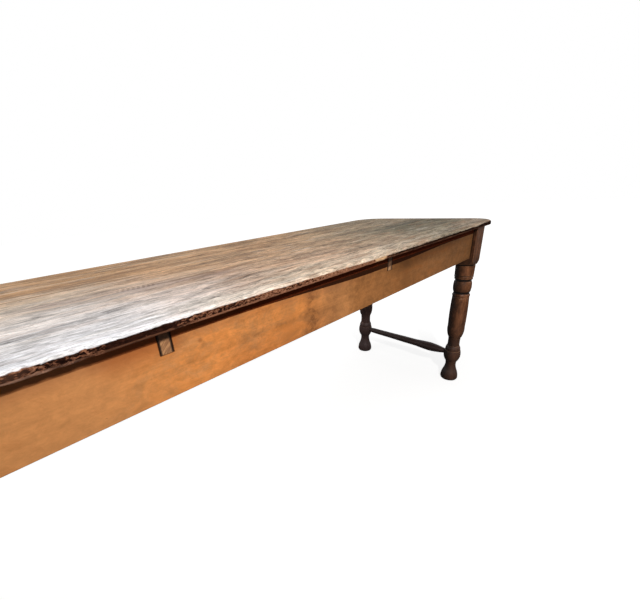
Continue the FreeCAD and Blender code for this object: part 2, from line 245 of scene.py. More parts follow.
# How far below the top's face the dark edge starts, in metres: a start, and ramps along x.
edge_softness = 0.0006
edge_rows = -0.006
sink_start = 0.003
sink_base = (-0.35, 0.30, 0.0030, 0.0062)
sink_end = (0.85, 0.98, 0.0, 0.0040)
sink_left = (-0.40, -0.46, 0.0, 0.0010)
sink_bow = ((0.0, 0.12, 0.0, 0.0010), (0.50, 0.40))
sink_marks = (0.20, 0.30, 0.0, -0.009)
sink_right = (0.20, 0.30, 0.0, 0.0045)

# The broken pale line along the lower arris of the edge: bare wood, partly a painted highlight where the
# arris catches light.
arris_rise = (0.0046, 0.0032)
arris_tone = tone(140, 94, 70)
arris_left_tone = tone(156, 118, 98)
arris_left = (-0.45, -0.475)
arris_left_share = 0.2
arris_broken = (0.38, 0.58, 0.1, 0.6)
arris_fading = ((-0.46, -0.44, 1.0, 0.6), (-0.36, -0.30, 0.6, 1.0))
arris_even = ((-0.33, -0.27), (0.25, 0.15, 0.0, 0.4))

# The bare wood under the boards, and the boards' surface.
raw_light = tone(156, 116, 80)
raw_dark = tone(104, 74, 48)
facing_down = (-0.8, -0.9)
mark_height = 0.5
row_height = 0.5
crack_depth = 0.6
board_roughness = (0.3, 0.7, 0.56, 0.72)
edge_roughness = 0.95
board_bump = (0.5, 0.0013)
board_specular = 0.05

# Honey pine, with grain along x or y. A reach is a distance in metres and the ramp of the hollows.
pine_shift = (2.3, 1.1, 1.9)
figure_scales = {"x": (1.4, 17, 17), "y": (17, 1.4, 17)}
figure_noise = (5, 0.6, 0.9)
fine_scales = {"x": (9, 240, 240), "y": (240, 9, 240)}
fine_noise = (3, 0.6, 0.0)
mottle_noise = ((13, 13, 26), 6, 0.72, 0.6)
mottle_turn = (0, 0.5, 0)
fleck_noise = ((46, 46, 62), 5, 0.75, 0.4)
fleck_turn = (0, 0.4, 0)
# Paler at the left and darker to the right: partly the pine's own tone, partly painted light falloff.
pine_left = tone(215, 148, 91)
pine_right = tone(183, 127, 80)
pine_right_ramp = (0.0, 0.7)
pine_lively = (-0.5, -0.2, 0.5, 1.0)
pine_strengths = (("fine", 0.3), ("flecks", 1.2), ("figure", 1.0), ("mottle", 1.1))
pine_figures = (
    # Ruddy from the left bearer to the middle, then darker and paler clouds.
    (tone(224, 144, 77), "MIX", ("x", -0.48, -0.30), ("x", 0.10, -0.05), ("mottle", 0.35, 0.6, 0.3, 1.0)),
    (tone(180, 112, 60), "MIX", ("figure", 0.52, 0.72, 0.0, 0.4)),
    (tone(158, 98, 52), "MIX", ("mottle", 0.52, 0.70, 0.0, 0.4)),
    (tone(228, 164, 108), "MIX", ("mottle", 0.46, 0.32, 0.0, 0.3)),
)
pine_flecks = (
    (tone(110, 62, 34), "MIX", ("flecks", 0.64, 0.72, 0.0, 0.6)),
    (tone(236, 184, 132), "MIX", ("flecks", 0.32, 0.24, 0.0, 0.4)),
)
pine_hollow = tone(60, 36, 22)
pine_hollow_reach = (0.02, 0.35, 0.75)
fine_height = 0.5
figure_height = 0.4
pine_roughness = (0.3, 0.7, 0.42, 0.55)
under_top_roughness = 0.95
pine_bump = (0.35, 0.0008)
pine_specular = 0.08
block_veil = tone(104, 68, 42)
joint_black = tone(26, 14, 10)
joint_ramp = (0.0035, 0.0020)
joint_rise = 0.002
joint_share = 0.9

# Marks on the front apron: place, reach and share of each smudge, and place and level of the knot.
smudges = ((0.004, 0.040, 0.8), (-0.07, 0.05, 0.2), (0.085, 0.06, 0.5), (0.44, 0.045, 0.3))
smudge_tone = tone(104, 66, 42)
smudge_noise = 0.06
smudge_flecks = (0.36, 0.60)
knot_place = (-0.282, 0.706)
knot_tone = tone(160, 92, 48)
knot_ramp = (0.0055, 0.002, 0.0, 0.5)

# A band of grime and painted shadow under the top of the front apron. The top's real shadow falls on its
# upper part, and below that, where the light falls, a darker tone paints the shadow on. The drop and the
# return lower and raise its lower edge along x, and above is the height over that edge. The other aprons get
# a soft painted shade just under the top.
shadow_band_level = underside - 0.0305
shadow_band_drop = (-0.20, 0.25, 0.0, 0.013)
shadow_band_return = (0.35, 0.80, 0.0, 0.010)
shadow_band_ramps = ((-0.0008, 0.0008), (-0.55, -0.15, 0.50, 0.97))
shadow_band_tone = tone(100, 39, 14)
painted_shadow_in_light = tone(38, 12, 2)
painted_shadow_softness = 0.001
painted_shadow_ramp = (-0.2, -0.1)
soft_under_top_shade = tone(60, 34, 20)
soft_shade_depth = 0.040
soft_shade_share = 0.8
soft_shade_mottle = (0.3, 0.6, 0.4, 1.0)
apron_zones = (
    # Painted soft shade below the shadow band up to the right bearer, and a warm glow to the left of the left
    # bearer.
    (tone(128, 76, 52), "MIX", ("above", -0.024, 0.0, 0.0, 0.3), ("x", 0.35, 0.15)),
    (tone(160, 84, 36), "MIX", ("x", -0.47, -0.42), ("x", -0.30, -0.34), ("above", -0.045, 0.0, 0.0, 0.6)),
    # Duller low down left of the middle, dim around the right bearer, and a painted soft shadow below the
    # shadow band there.
    ((0.83, 0.80, 0.80, 1.0), "MULTIPLY", ("x", -0.28, -0.18), ("x", 0.12, 0.02), ("z", 0.71, 0.64)),
    ((0.66, 0.63, 0.58, 1.0), "MULTIPLY", ("x", 0.10, 0.20), ("x", 0.64, 0.46, 0.4, 1.0)),
    ((0.45, 0.42, 0.38, 1.0), "MULTIPLY", ("above", -0.050, -0.004), ("x", 0.30, 0.44, 0.0, 0.9),
     ("x", 0.98, 0.72, 0.4, 1.0)),
)

# Dark turned wood. A look is how dark the painted shade on its inner side is, how strong a veil is and the
# veil's tone.
turned_shift = (1.3, 2.9, 0.7)
turned_noises = (
    ("grain", (75, 75, 6), 6, 0.70, 0.4),
    ("blotch", (24, 24, 13), 5, 0.70, 0.5),
    ("scuffs", (130, 130, 70), 5, 0.72, 0.0),
)
turned_strengths = (("grain", 2.6), ("scuffs", 1.4))
front_leg_look = (0.93, 0.0, tone(38, 29, 30))
back_leg_look = (0.35, 0.6, tone(72, 58, 61))
stretcher_look = (0.3, 0.8, tone(38, 29, 30))
turned_light = tone(162, 104, 68)
worn_corner = (0.0035, 0.01, 0.08)
turned_patches = (
    # Blotches, greyer low down, and worn on the beads.
    (tone(106, 65, 40), "MIX", ("blotch", 0.34, 0.66)),
    (tone(84, 62, 54), "MIX", ("z", 0.44, 0.10, 0.0, 0.80)),
    (tone(200, 148, 108), "MIX", ("corner",), ("scuffs", 0.3, 0.55, 0.35, 0.85)),
)
inner_painted_shade = tone(22, 14, 11)
inner_shade_ramp = (0.50, -0.75)
inner_shade_blotch = -0.5

# The dark bands that the photo shows on the front leg. A groove is its height and half its width.
groove_black = tone(10, 6, 5)
groove_reach = (0.012, 0.45, 0.85)
groove_levels = ((0.5196, 0.0056), (0.4608, 0.0052), (0.5890, 0.0024), (0.5396, 0.0012))
groove_outside = 0.0016
groove_inside = 0.0012
groove_share = 0.94
# Painted shade under the block, where its bottom curves in, and above the lower groove, and a slightly darker
# band between the grooves.
band_patches = (
    (tone(36, 20, 11), "MIX", ("z", 0.645, 0.600), ("z", 0.588, 0.590, 0.0, 0.6)),
    (tone(36, 20, 11), "MIX", ("z", 0.490, 0.466), ("z", 0.452, 0.454, 0.0, 0.45)),
    (tone(60, 40, 26), "MIX", ("z", 0.513, 0.509), ("z", 0.460, 0.464, 0.0, 0.25)),
)
foot_patches = (
    (tone(40, 27, 22), "MIX", ("z", 0.10, 0.05, 0.0, 0.2)),
)
scuff_height = 0.5
turned_roughness = (0.3, 0.7, 0.36, 0.52)
turned_bump = (0.35, 0.0009)
turned_specular = 0.3

# The sawn wood of the bearers, with end grain on the faces that look to the front and the back.
sawn_shift = (0.7, 1.9, 1.3)
sawn_noise = ((90, 6, 90), 5, 0.6, 0.0)
sawn_light = tone(188, 140, 98)
sawn_dark = tone(130, 92, 60)
scratch_turn = (0, 0.85, 0)
scratch_noise = ((38, 1, 330), 3, 0.6, 0.2)
end_left = tone(188, 138, 94)
end_patches = (
    # Paler on the right bearer, and scratched.
    (tone(216, 166, 122), "MIX", ("x", -0.1, 0.1)),
    (tone(118, 78, 52), "MIX", ("scratches", 0.36, 0.62, 0.0, 0.75)),
)
facing_end = (0.8, 0.95)
bearer_hollow = tone(40, 24, 16)
bearer_hollow_reach = (0.01, 0.3, 0.8)
bearer_patches = (
    # Painted shadow and grime at the front under the top, and a black rim around the ends.
    (tone(60, 34, 22), "MIX", ("above", -0.003, 0.002, 0.0, 0.7), ("in_front",)),
    (joint_black, "MIX", ("beside", -0.0028, -0.0014, 0.0, 0.85), ("on_end",)),
)
sawn_roughness = 0.7
sawn_bump = (0.3, 0.0008)
sawn_specular = 0.3

# Pegs and screws.
peg_noise = ((300, 300, 300), 3, 0.6)
peg_light = tone(120, 76, 46)
peg_dark = tone(76, 46, 30)
peg_ramp = (0.35, 0.65)
peg_roughness = 0.5
peg_bump = (0.3, 0.0006)
peg_specular = 0.4
rust_noise = ((220, 220, 220), 5, 0.7)
iron_grey = tone(96, 92, 88)
iron_rust = tone(104, 62, 40)
rust_ramp = (0.45, 0.65)
iron_roughness = (0.3, 0.7, 0.4, 0.75)
iron_metallic = 0.8
iron_bump = (0.3, 0.0004)
iron_specular = 0.5
block_gloom = 0.3


def shifted(seed, steps):
    """Where a seed's part of a noise starts."""
    return tuple(seed * step for step in steps)


class Shader:
    """A material while its nodes are made and joined."""

    corner_samples = 4
    hollow_samples = 8
    least_varied = 0.15

    def __init__(self, name):
        self.material = bpy.data.materials.new(name)
        self.material.use_nodes = True
        self.tree = self.material.node_tree
        self.surface = self.tree.nodes["Principled BSDF"]

    def join(self, value, socket):
        """Another node's output is linked to the socket, and a plain value is set on it."""
        if isinstance(value, bpy.types.NodeSocket):
            self.tree.links.new(value, socket)
        else:
            socket.default_value = value

    def make(self, kind, inputs, **settings):
        """A node of this kind, with the given inputs joined and settings set."""
        node = self.tree.nodes.new(kind)
        for setting, value in settings.items():
            setattr(node, setting, value)
        for socket, value in inputs.items():
            self.join(value, node.inputs[socket])
        return node

    def place(self):
        """The point in the table's own frame, in metres."""
        return self.make("ShaderNodeTexCoord", {}).outputs["Object"]

    def axes(self, vector):
        """The three numbers of a vector."""
        return self.make("ShaderNodeSeparateXYZ", {"Vector": vector}).outputs

    def stretched(self, vector, scale, shift=(0, 0, 0), turn=(0, 0, 0)):
        """A vector scaled along each axis, so that a texture is drawn out where the scale is small."""
        inputs = {"Vector": vector, "Scale": scale, "Location": shift, "Rotation": turn}
        return self.make("ShaderNodeMapping", inputs).outputs["Vector"]

    def noise(self, vector, scale, detail, roughness, distortion=0.0, shift=(0, 0, 0), turn=(0, 0, 0)):
        """Cloudy noise from 0 to 1, drawn out where the scale is small."""
        inputs = {"Vector": self.stretched(vector, scale, shift, turn), "Scale": 1.0}
        inputs.update({"Detail": detail, "Roughness": roughness, "Distortion": distortion})
        return self.make("ShaderNodeTexNoise", inputs).outputs["Fac"]

    def add_noises(self, at, vector, noises, shift):
        """Each named noise of a table becomes a value of at."""
        for name, *settings in noises:
            setattr(at, name, self.noise(vector, *settings, shift))

    def wavy(self, vector, settings, width):
        """A vector moved a little sideways by noise, so that long streaks wander."""
        swing = self.product(self.minus(self.noise(vector, *settings), 0.5), width)
        offset = self.make("ShaderNodeCombineXYZ", {"Y": swing}).outputs["Vector"]
        return self.make("ShaderNodeVectorMath", {0: vector, 1: offset}, operation="ADD").outputs["Vector"]

    def sum(self, operation, first, second=0.0, third=0.0):
        """A sum of the math node."""
        node = self.make("ShaderNodeMath", {0: first, 1: second}, operation=operation)
        if operation == "MULTIPLY_ADD":
            self.join(third, node.inputs[2])
        return node.outputs[0]

    def plus(self, first, second):
        """One value added to another."""
        return self.sum("ADD", first, second)

    def minus(self, first, second):
        """The second value taken from the first."""
        return self.sum("SUBTRACT", first, second)

    def scaled(self, value, gain, offset):
        """The value times a gain, plus an offset."""
        return self.sum("MULTIPLY_ADD", value, gain, offset)

    def larger(self, first, second):
        """The larger of two values."""
        return self.sum("MAXIMUM", first, second)

    def distance(self, value, centre):
        """How far a value is from a centre, on either side."""
        return self.sum("ABSOLUTE", self.minus(value, centre))

    def spread(self, value, low, high, start=0.0, end=1.0):
        """The value's range from low to high, turned smoothly into start to end and held there."""
        inputs = {"Value": value, "From Min": low, "From Max": high, "To Min": start, "To Max": end}
        made = self.make("ShaderNodeMapRange", inputs, interpolation_type="SMOOTHSTEP")
        return made.outputs["Result"]

    def product(self, *parts):
        """The parts multiplied. A tuple stands for the spread of a value, anything else for itself."""
        factors = [self.spread(*part) if isinstance(part, tuple) else part for part in parts]
        total = factors[0]
        for factor in factors[1:]:
            total = self.sum("MULTIPLY", total, factor)
        return total

    def mix(self, factor, first, second, blend="MIX"):
        """Two colours mixed."""
        node = self.make("ShaderNodeMix", {}, data_type="RGBA", blend_type=blend)
        self.join(factor, node.inputs[0])
        self.join(first, node.inputs[6])
        self.join(second, node.inputs[7])
        return node.outputs[2]

    def stain(self, base, colour, *parts):
        """The base with a colour over it, as much as the product of the parts says."""
        return self.mix(self.product(*parts), base, colour)

    def paint(self, base, patches, at):
        """The base with a table's patches over it in turn. Their ramps run along the values of at."""
        for colour, blend, *ramps in patches:
            parts = []
            for name, *limits in ramps:
                value = getattr(at, name)
                parts.append((value, *limits) if limits else value)
            base = self.mix(self.product(*parts), base, colour, blend)
        return base

    def vary(self, colour, strengths, at, gain=1.0):
        """The colour made lighter and darker about itself by noises, each with its own strength."""
        swing = 0.0
        for name, strength in strengths:
            swing = self.plus(swing, self.scaled(getattr(at, name), strength, -strength / 2))
        total = self.scaled(swing, gain, 1.0)
        return self.mix(1.0, colour, self.larger(total, self.least_varied), "MULTIPLY")

    def in_front(self, y):
        """1 on the table's front half and 0 on the back half."""
        return self.sum("LESS_THAN", y, 0.0)

    def normal(self):
        """The surface's direction before any bump."""
        return self.make("ShaderNodeNewGeometry", {}).outputs["Normal"]

    def corner(self, radius, low, high):
        """1 on outer and inner corners sharper than the radius, and 0 on flat parts."""
        rounded = self.make("ShaderNodeBevel", {"Radius": radius}, samples=self.corner_samples)
        inputs = {0: rounded.outputs["Normal"], 1: self.normal()}
        product = self.make("ShaderNodeVectorMath", inputs, operation="DOT_PRODUCT").outputs["Value"]
        return self.spread(self.minus(1.0, product), low, high)

    def hollow(self, distance, low, high):
        """1 deep in grooves and corners, and 0 on open surfaces."""
        inputs = {"Distance": distance}
        open_air = self.make("ShaderNodeAmbientOcclusion", inputs, samples=self.hollow_samples)
        return self.spread(open_air.outputs["AO"], high, low)

    def bump(self, height, strength, distance):
        """A bumped normal."""
        inputs = {"Height": height, "Strength": strength, "Distance": distance}
        return self.make("ShaderNodeBump", inputs).outputs["Normal"]

    def finish(self, colour, roughness, normal, specular):
        """Colour, roughness and normal on the main shader, and the finished material."""
        self.join(colour, self.surface.inputs["Base Color"])
        self.join(roughness, self.surface.inputs["Roughness"])
        self.join(normal, self.surface.inputs["Normal"])
        self.surface.inputs["Specular IOR Level"].default_value = specular
        return self.material


def shadow_band_edge(shader, x):
    """The level down to which the painted shadow and grime reach under the top, lower from the middle to the
    right.
    """
    level = shader.minus(shadow_band_level, shader.spread(x, *shadow_band_drop))
    return shader.plus(level, shader.spread(x, *shadow_band_return))


def bearer_offset(shader, x):
    """How far a place lies along the apron from the nearest bearer's side, less than 0 on the bearer."""
    return shader.minus(shader.distance(shader.sum("ABSOLUTE", x), bearer_middle), bearer_half)


def edge_finish(shader, place, x, y):
    """Nearly black varnish on the top's edge, chipped in clusters down to brown and bare wood."""
    dark = shader.larger(shader.spread(x, *dark_left), shader.spread(x, *dark_right))
    brown = shader.plus(shader.spread(x, *brown_left), shader.spread(x, *brown_middle))
    at = SimpleNamespace(x=x, in_front=shader.in_front(y))
    at.chips = shader.noise(place, *chip_noise)
    at.clusters = shader.noise(place, *chip_cluster_noise)
    at.worn = shader.make("ShaderNodeAttribute", {}, attribute_name="worn").outputs["Fac"]
    at.dark = shader.product(dark, (x, *dark_fade))
    at.brown = shader.product(brown, (x, *brown_fade))
    limit = chip_limit
    for name, gain in chip_limit_gains:
        limit = shader.scaled(getattr(at, name), gain, limit)
    at.over = shader.minus(at.chips, limit)
    at.ragged = shader.scaled(at.chips, scar_noise, shader.distance(x, edge_scar))
    return shader.paint(varnish, edge_patches, at)


def top_colours(shader, at):
    """Painted glare at the front left, golden behind it, and grey towards the right end, partly painted light
    falloff.
    """
    straw_along, straw_depth = straw_ramps
    front = shader.stain(front_left_glare, top_sand, (at.along, *sand_ramp))
    behind = shader.stain(top_gold, top_tan, (at.along, *tan_ramp))
    behind = shader.stain(behind, top_straw, (at.along, *straw_along), (at.depth, *straw_depth))
    base = shader.stain(front, behind, (at.depth, *behind_ramp))
    # A strip of painted glare along the front, cream towards the right.
    strip = shader.stain(top_glare, top_cream, (at.along, *cream_ramp))
    base = shader.stain(
        base, strip, (at.depth, *strip_front), (at.along, *strip_right), (at.along, *strip_left))
    at.greying = shader.minus(at.along, shader.spread(at.y, *greying_lag))
    at.moss_along = shader.distance(at.along, moss_place[0])
    at.moss_depth = shader.distance(at.depth, moss_place[1])
    return shader.paint(base, top_patches, at)


def worn_seam(shader, base, at):
    """The grey worn line of a seam, dotted with short dents."""
    seam = shader.scaled(shader.minus(at.x, seam_start[0]), seam_slope, seam_start[1])
    at.below = shader.minus(seam, at.y)
    at.beside = shader.distance(at.below, dent_offset)
    at.dents = shader.sum("SINE", shader.product(shader.scaled(at.y, dent_lean, at.x), dent_frequency))
    return shader.paint(base, seam_patches, at)


def top_streaks(shader, base, at):
    """Streaks and scuffs along the grain, open cracks and veins, and how open the cracks are."""
    lively = shader.plus(shader.spread(at.along, *lively_left), shader.spread(at.x, *lively_right))
    base = shader.paint(base, streak_patches, at)
    base = shader.vary(base, board_strengths, at, lively)
    near_ramp, broken_ramp = crack_ramps
    cracks = shader.product((shader.distance(at.wander, 0.5), *near_ramp), (at.marks, *broken_ramp))
    base = shader.stain(base, crack_tone, cracks, crack_share)
    left_ramp, behind_veins = vein_ramps
    at.vein_share = shader.plus(shader.product((at.along, *left_ramp), (at.depth, *behind_veins)), vein_least)
    return shader.paint(base, vein_patches, at), cracks


def edge_share(shader, at):
    """1 on the stained edge and 0 on the scrubbed face above it, with a line between that wanders."""
    sink = shader.spread(at.x, *sink_base)
    sink = shader.minus(sink, shader.spread(at.x, *sink_end))
    sink = shader.plus(sink, shader.spread(at.x, *sink_left))
    sink = shader.plus(sink, shader.product(*((at.x, *limits) for limits in sink_bow)))
    sink = shader.scaled(at.marks, shader.spread(at.x, *sink_marks), sink)
    sink = shader.plus(sink, shader.spread(at.x, *sink_right))
    level = shader.plus(shader.scaled(at.rows, edge_rows, at.z), shader.plus(sink, sink_start))
    return shader.spread(level, top_level + edge_softness, top_level - edge_softness)


def pale_arris(shader, base, at):
    """The broken pale line along the edge's lower arris, more even between the bearers: bare wood, partly a
    painted highlight.
    """
    high, low = arris_rise
    broken = shader.spread(at.rows, *arris_broken)
    fading = shader.larger(*(shader.spread(at.x, *limits) for limits in arris_fading))
    broken = shader.product(broken, fading)
    broken = shader.plus(broken, shader.spread(at.x, *arris_left, 0.0, arris_left_share))
    even = shader.product(*((at.x, *limits) for limits in arris_even))
    line_tone = shader.stain(arris_tone, arris_left_tone, (at.x, *arris_left))
    return shader.stain(
        base, line_tone, (at.z, underside + high, underside + low), shader.plus(broken, even))


def scrubbed_top(name, seed):
    """A scrubbed and weathered board of the top, with a stained and chipped edge and bare wood below."""
    shader = Shader(name)
    place = shader.place()
    at = SimpleNamespace()
    at.x, at.y, at.z = shader.axes(place)
    wavy = shader.wavy(place, wave_noise, wave_width)
    shader.add_noises(at, wavy, board_noises, shifted(seed, board_shift))
    at.hue = shader.noise(wavy, *hue_noise)
    at.veins = shader.noise(wavy, *vein_noise)
    drift = shader.scaled(shader.noise(place, *broad_noise), drift_width, -drift_width / 2)
    at.depth = shader.scaled(at.bands, band_drift, shader.plus(at.y, drift))
    at.depth = shader.minus(at.depth, band_drift / 2)
    at.along = shader.scaled(drift, along_drift, at.x)

    base = top_colours(shader, at)
    base = worn_seam(shader, base, at)
    base, cracks = top_streaks(shader, base, at)
    edge = edge_share(shader, at)
    base = shader.mix(edge, base, edge_finish(shader, place, at.x, at.y))
    base = pale_arris(shader, base, at)
    raw = shader.mix(at.bands, raw_light, raw_dark)
    base = shader.stain(base, raw, (shader.axes(shader.normal())[2], *facing_down))
    height = shader.scaled(at.marks, mark_height, shader.product(at.rows, row_height))
    height = shader.minus(height, shader.product(cracks, crack_depth))
    rough = shader.larger(shader.spread(at.rows, *board_roughness), shader.product(edge, edge_roughness))
    return shader.finish(base, rough, shader.bump(height, *board_bump), board_specular)


def front_marks(shader, base, at):
    """Smudges and a knot where the photo shows them on the front apron."""
    for middle, reach, share in smudges:
        away = shader.minus(shader.distance(at.x, middle), smudge_noise / 2)
        away = shader.scaled(at.mottle, smudge_noise, away)
        base = shader.stain(base, smudge_tone, (away, reach, 0.0), (at.flecks, *smudge_flecks), share)
    across = shader.minus(at.x, knot_place[0])
    above = shader.minus(at.z, knot_place[1])
    square = shader.plus(shader.product(across, across), shader.product(above, above))
    return shader.stain(base, knot_tone, (shader.sum("SQRT", square), *knot_ramp))


def front_shadow_band(shader, base, at):
    """The front apron's zones over the base, then the share and the colour of the band of grime and painted
    shadow above them.
    """
    at.above = shader.minus(at.z, shadow_band_edge(shader, at.x))
    base = shader.paint(base, apron_zones, at)
    edge_ramp, right_ramp = shadow_band_ramps
    shade_under_top = shader.product((at.above, *edge_ramp), (at.x, *right_ramp))
    # Below the top's real shadow, where the light falls, a darker tone paints the shadow on.
    below_shadow = (at.z, shadow_band_level + painted_shadow_softness, shadow_band_level - painted_shadow_softness)
    return base, shade_under_top, shader.stain(shadow_band_tone, painted_shadow_in_light, below_shadow, (at.x, *painted_shadow_ramp))


def joint_lines(shader, base, at):
    """Dark lines beside the ends of the bearers."""
    beside = (bearer_offset(shader, at.x), *joint_ramp)
    above = (at.z, bearer_low.z - joint_rise, bearer_low.z, 0.0, joint_share)
    return shader.stain(base, joint_black, beside, above)


def honey_pine(name, seed, along, marked=False, notched=False, gloom=0.0):
    """Old varnished pine with grain along x or y, and painted shade under the top.

    A marked piece has the marks that the photo shows on the front apron and its band of grime and painted
    shadow, and a notched one has joint lines beside the bearers.
    """
    shader = Shader(name)
    place = shader.place()
    shift = shifted(seed, pine_shift)
    at = SimpleNamespace()
    at.x, at.y, at.z = shader.axes(place)
    at.figure = shader.noise(place, figure_scales[along], *figure_noise, shift)
    at.fine = shader.noise(place, fine_scales[along], *fine_noise, shift)
    at.mottle = shader.noise(place, *mottle_noise, shift, mottle_turn)
    at.flecks = shader.noise(place, *fleck_noise, shift, fleck_turn)

    # Darker towards the right end, partly painted light falloff.
    base = shader.stain(pine_left, pine_right, (at.x, *pine_right_ramp))
    base = shader.paint(base, pine_figures, at)
    base = shader.vary(base, pine_strengths, at, shader.spread(getattr(at, along), *pine_lively))
    base = shader.paint(base, pine_flecks, at)
    if marked:
        base = front_marks(shader, base, at)
    base = shader.mix(shader.hollow(*pine_hollow_reach), base, pine_hollow)
    if marked:
        base, shade_under_top, shade_under_top_tone = front_shadow_band(shader, base, at)
    else:
        # A soft painted shade just under the top.
        rise = (at.z, underside - soft_shade_depth, underside, 0.0, soft_shade_share)
        shade_under_top = shader.product(rise, (at.mottle, *soft_shade_mottle))
        shade_under_top_tone = soft_under_top_shade
    base = shader.mix(shade_under_top, base, shade_under_top_tone)
    if notched:
        base = joint_lines(shader, base, at)
    base = shader.mix(gloom, base, block_veil)
    height = shader.plus(shader.product(at.fine, fine_height), shader.product(at.figure, figure_height))
    rough = shader.larger(shader.spread(at.mottle, *pine_roughness), shader.product(shade_under_top, under_top_roughness))
    return shader.finish(base, rough, shader.bump(height, *pine_bump), pine_specular)


def dark_turned_wood(name, seed, look):
    """Dark varnished turned wood, worn on its beads, black in its grooves, and with painted shade on the side
    that faces the inside of the table.
    """
    shader = Shader(name)
    place = shader.place()
    inner_shade_share, veil_share, veil = look
    at = SimpleNamespace(corner=shader.corner(*worn_corner))
    at.x, at.y, at.z = shader.axes(place)
    shader.add_noises(at, place, turned_noises, shifted(seed, turned_shift))
    blotches, *wear = turned_patches
    base = shader.paint(turned_light, [blotches], at)
    base = shader.vary(base, turned_strengths, at)
    base = shader.paint(base, wear, at)
    # Painted shade on the side that faces the inside of the table.
    facing = shader.axes(shader.normal())
    across = shader.product(facing[1], shader.sum("SIGN", at.y))
    lengthwise = shader.product(facing[0], shader.sum("SIGN", at.x))
    outward = shader.scaled(at.blotch, inner_shade_blotch, shader.larger(across, lengthwise))
    base = shader.stain(base, inner_painted_shade, (outward, *inner_shade_ramp, 0.0, inner_shade_share))
    base = shader.mix(shader.hollow(*groove_reach), base, groove_black)
    # Painted shade under the block and above the lower groove.
    base = shader.paint(base, band_patches, at)
    for level, half_height in groove_levels:
        away = shader.distance(at.z, level)
        groove = (away, half_height + groove_outside, half_height - groove_inside, 0.0, groove_share)
        base = shader.stain(base, groove_black, groove)
    base = shader.paint(base, foot_patches, at)
    base = shader.mix(veil_share, base, veil)
    height = shader.plus(at.grain, shader.product(at.scuffs, scuff_height))
    rough = shader.spread(at.blotch, *turned_roughness)
    return shader.finish(base, rough, shader.bump(height, *turned_bump), turned_specular)


def bearer_wood(name, seed):
    """Greyish sawn wood, with scratched end grain and a dark rim on the ends of the bearers."""
    shader = Shader(name)
    place = shader.place()
    shift = shifted(seed, sawn_shift)
    x, y, z = shader.axes(place)
    grain = shader.noise(place, *sawn_noise, shift)
    turned = shader.stretched(place, (1, 1, 1), shift, scratch_turn)
    facing = shader.sum("ABSOLUTE", shader.axes(shader.normal())[1])
    at = SimpleNamespace(x=x, in_front=shader.in_front(y), scratches=shader.noise(turned, *scratch_noise))
    at.above = shader.minus(z, shadow_band_edge(shader, x))
    at.beside = bearer_offset(shader, x)
    at.on_end = shader.spread(facing, *facing_end)
    side_tone = shader.mix(grain, sawn_light, sawn_dark)
    base = shader.mix(at.on_end, side_tone, shader.paint(end_left, end_patches, at))
    base = shader.mix(shader.hollow(*bearer_hollow_reach), base, bearer_hollow)
    base = shader.paint(base, bearer_patches, at)
    return shader.finish(base, sawn_roughness, shader.bump(grain, *sawn_bump), sawn_specular)


def peg_wood(name):
    """Mottled brown pegs."""
    shader = Shader(name)
    grain = shader.noise(shader.place(), *peg_noise)
    base = shader.stain(peg_light, peg_dark, (grain, *peg_ramp))
    return shader.finish(base, peg_roughness, shader.bump(grain, *peg_bump), peg_specular)


def dull_iron(name):
    """Dull iron with a little rust."""
    shader = Shader(name)
    rust = shader.noise(shader.place(), *rust_noise)
    base = shader.stain(iron_grey, iron_rust, (rust, *rust_ramp))
    shader.surface.inputs["Metallic"].default_value = iron_metallic
    rough = shader.spread(rust, *iron_roughness)
    return shader.finish(base, rough, shader.bump(rust, *iron_bump), iron_specular)


def outline(point):
    """How far inside the top's rounded outline a point lies, and the outline's outward direction there."""
    over_x = abs(point.x) - (table_end - corner_radius)
    over_y = abs(point.y) - (table_side - corner_radius)
    if over_x > 0 and over_y > 0:
        away = math.hypot(over_x, over_y)
        direction = Vector((over_x / away, over_y / away, 0))
    elif over_x > over_y:
        away = over_x
        direction = Vector((1, 0, 0))
    else:
        away = over_y
        direction = Vector((0, 1, 0))
    direction.x = math.copysign(direction.x, point.x)
    direction.y = math.copysign(direction.y, point.y)
    return corner_radius - away, direction


def share_between(value, low, high):
    """How far a value is on its way from low to high, held between 0 and 1."""
    return min(max((value - low) / (high - low), 0), 1)


def ramp(value, low, high):
    """A smooth step from 0 at low to 1 at high."""
    share = share_between(value, low, high)
    return share * share * (3 - 2 * share)


def chipping(point):
    """From 0 on sound edge to 1 at the bottom of a chip, with more chips towards the right end."""
    place = Vector([part * frequency for part, frequency in zip(point, chip_frequencies)])
    chips = noise.fractal(place, *chip_fractal)
    clusters = noise.fractal(point * cluster_frequency, *cluster_fractal)
    depth = chips + cluster_share * clusters + rougher_share * ramp(point.x, *rougher_right)
    return ramp(depth, *chip_limits)


def cut(mesh, faces, axis, places):
    """The faces are cut across one axis at each place in turn, and the resulting faces come back."""
    live = list(faces)
    finished = []
    for place in places:
        edges = {edge for face in live for edge in face.edges}
        points = {point for face in live for point in face.verts}
        plane_place = Vector((0, 0, 0))
        plane_place[axis] = place
        plane_direction = Vector((0, 0, 0))
        plane_direction[axis] = 1
        geometry = live + list(edges) + list(points)
        made = bmesh.ops.bisect_plane(
            mesh, geom=geometry, dist=weld_distance, plane_co=plane_place, plane_no=plane_direction)
        faces_now = [item for item in made["geom"] if isinstance(item, bmesh.types.BMFace)]
        live = []
        for face in faces_now:
            beyond = max(point.co[axis] for point in face.verts) > place + weld_distance
            (live if beyond else finished).append(face)
    return finished + live


def steps(low, high, step):
    """Even places between low and high."""
    count = max(1, round((high - low) / step))
    return [low + (high - low) * index / count for index in range(1, count)]


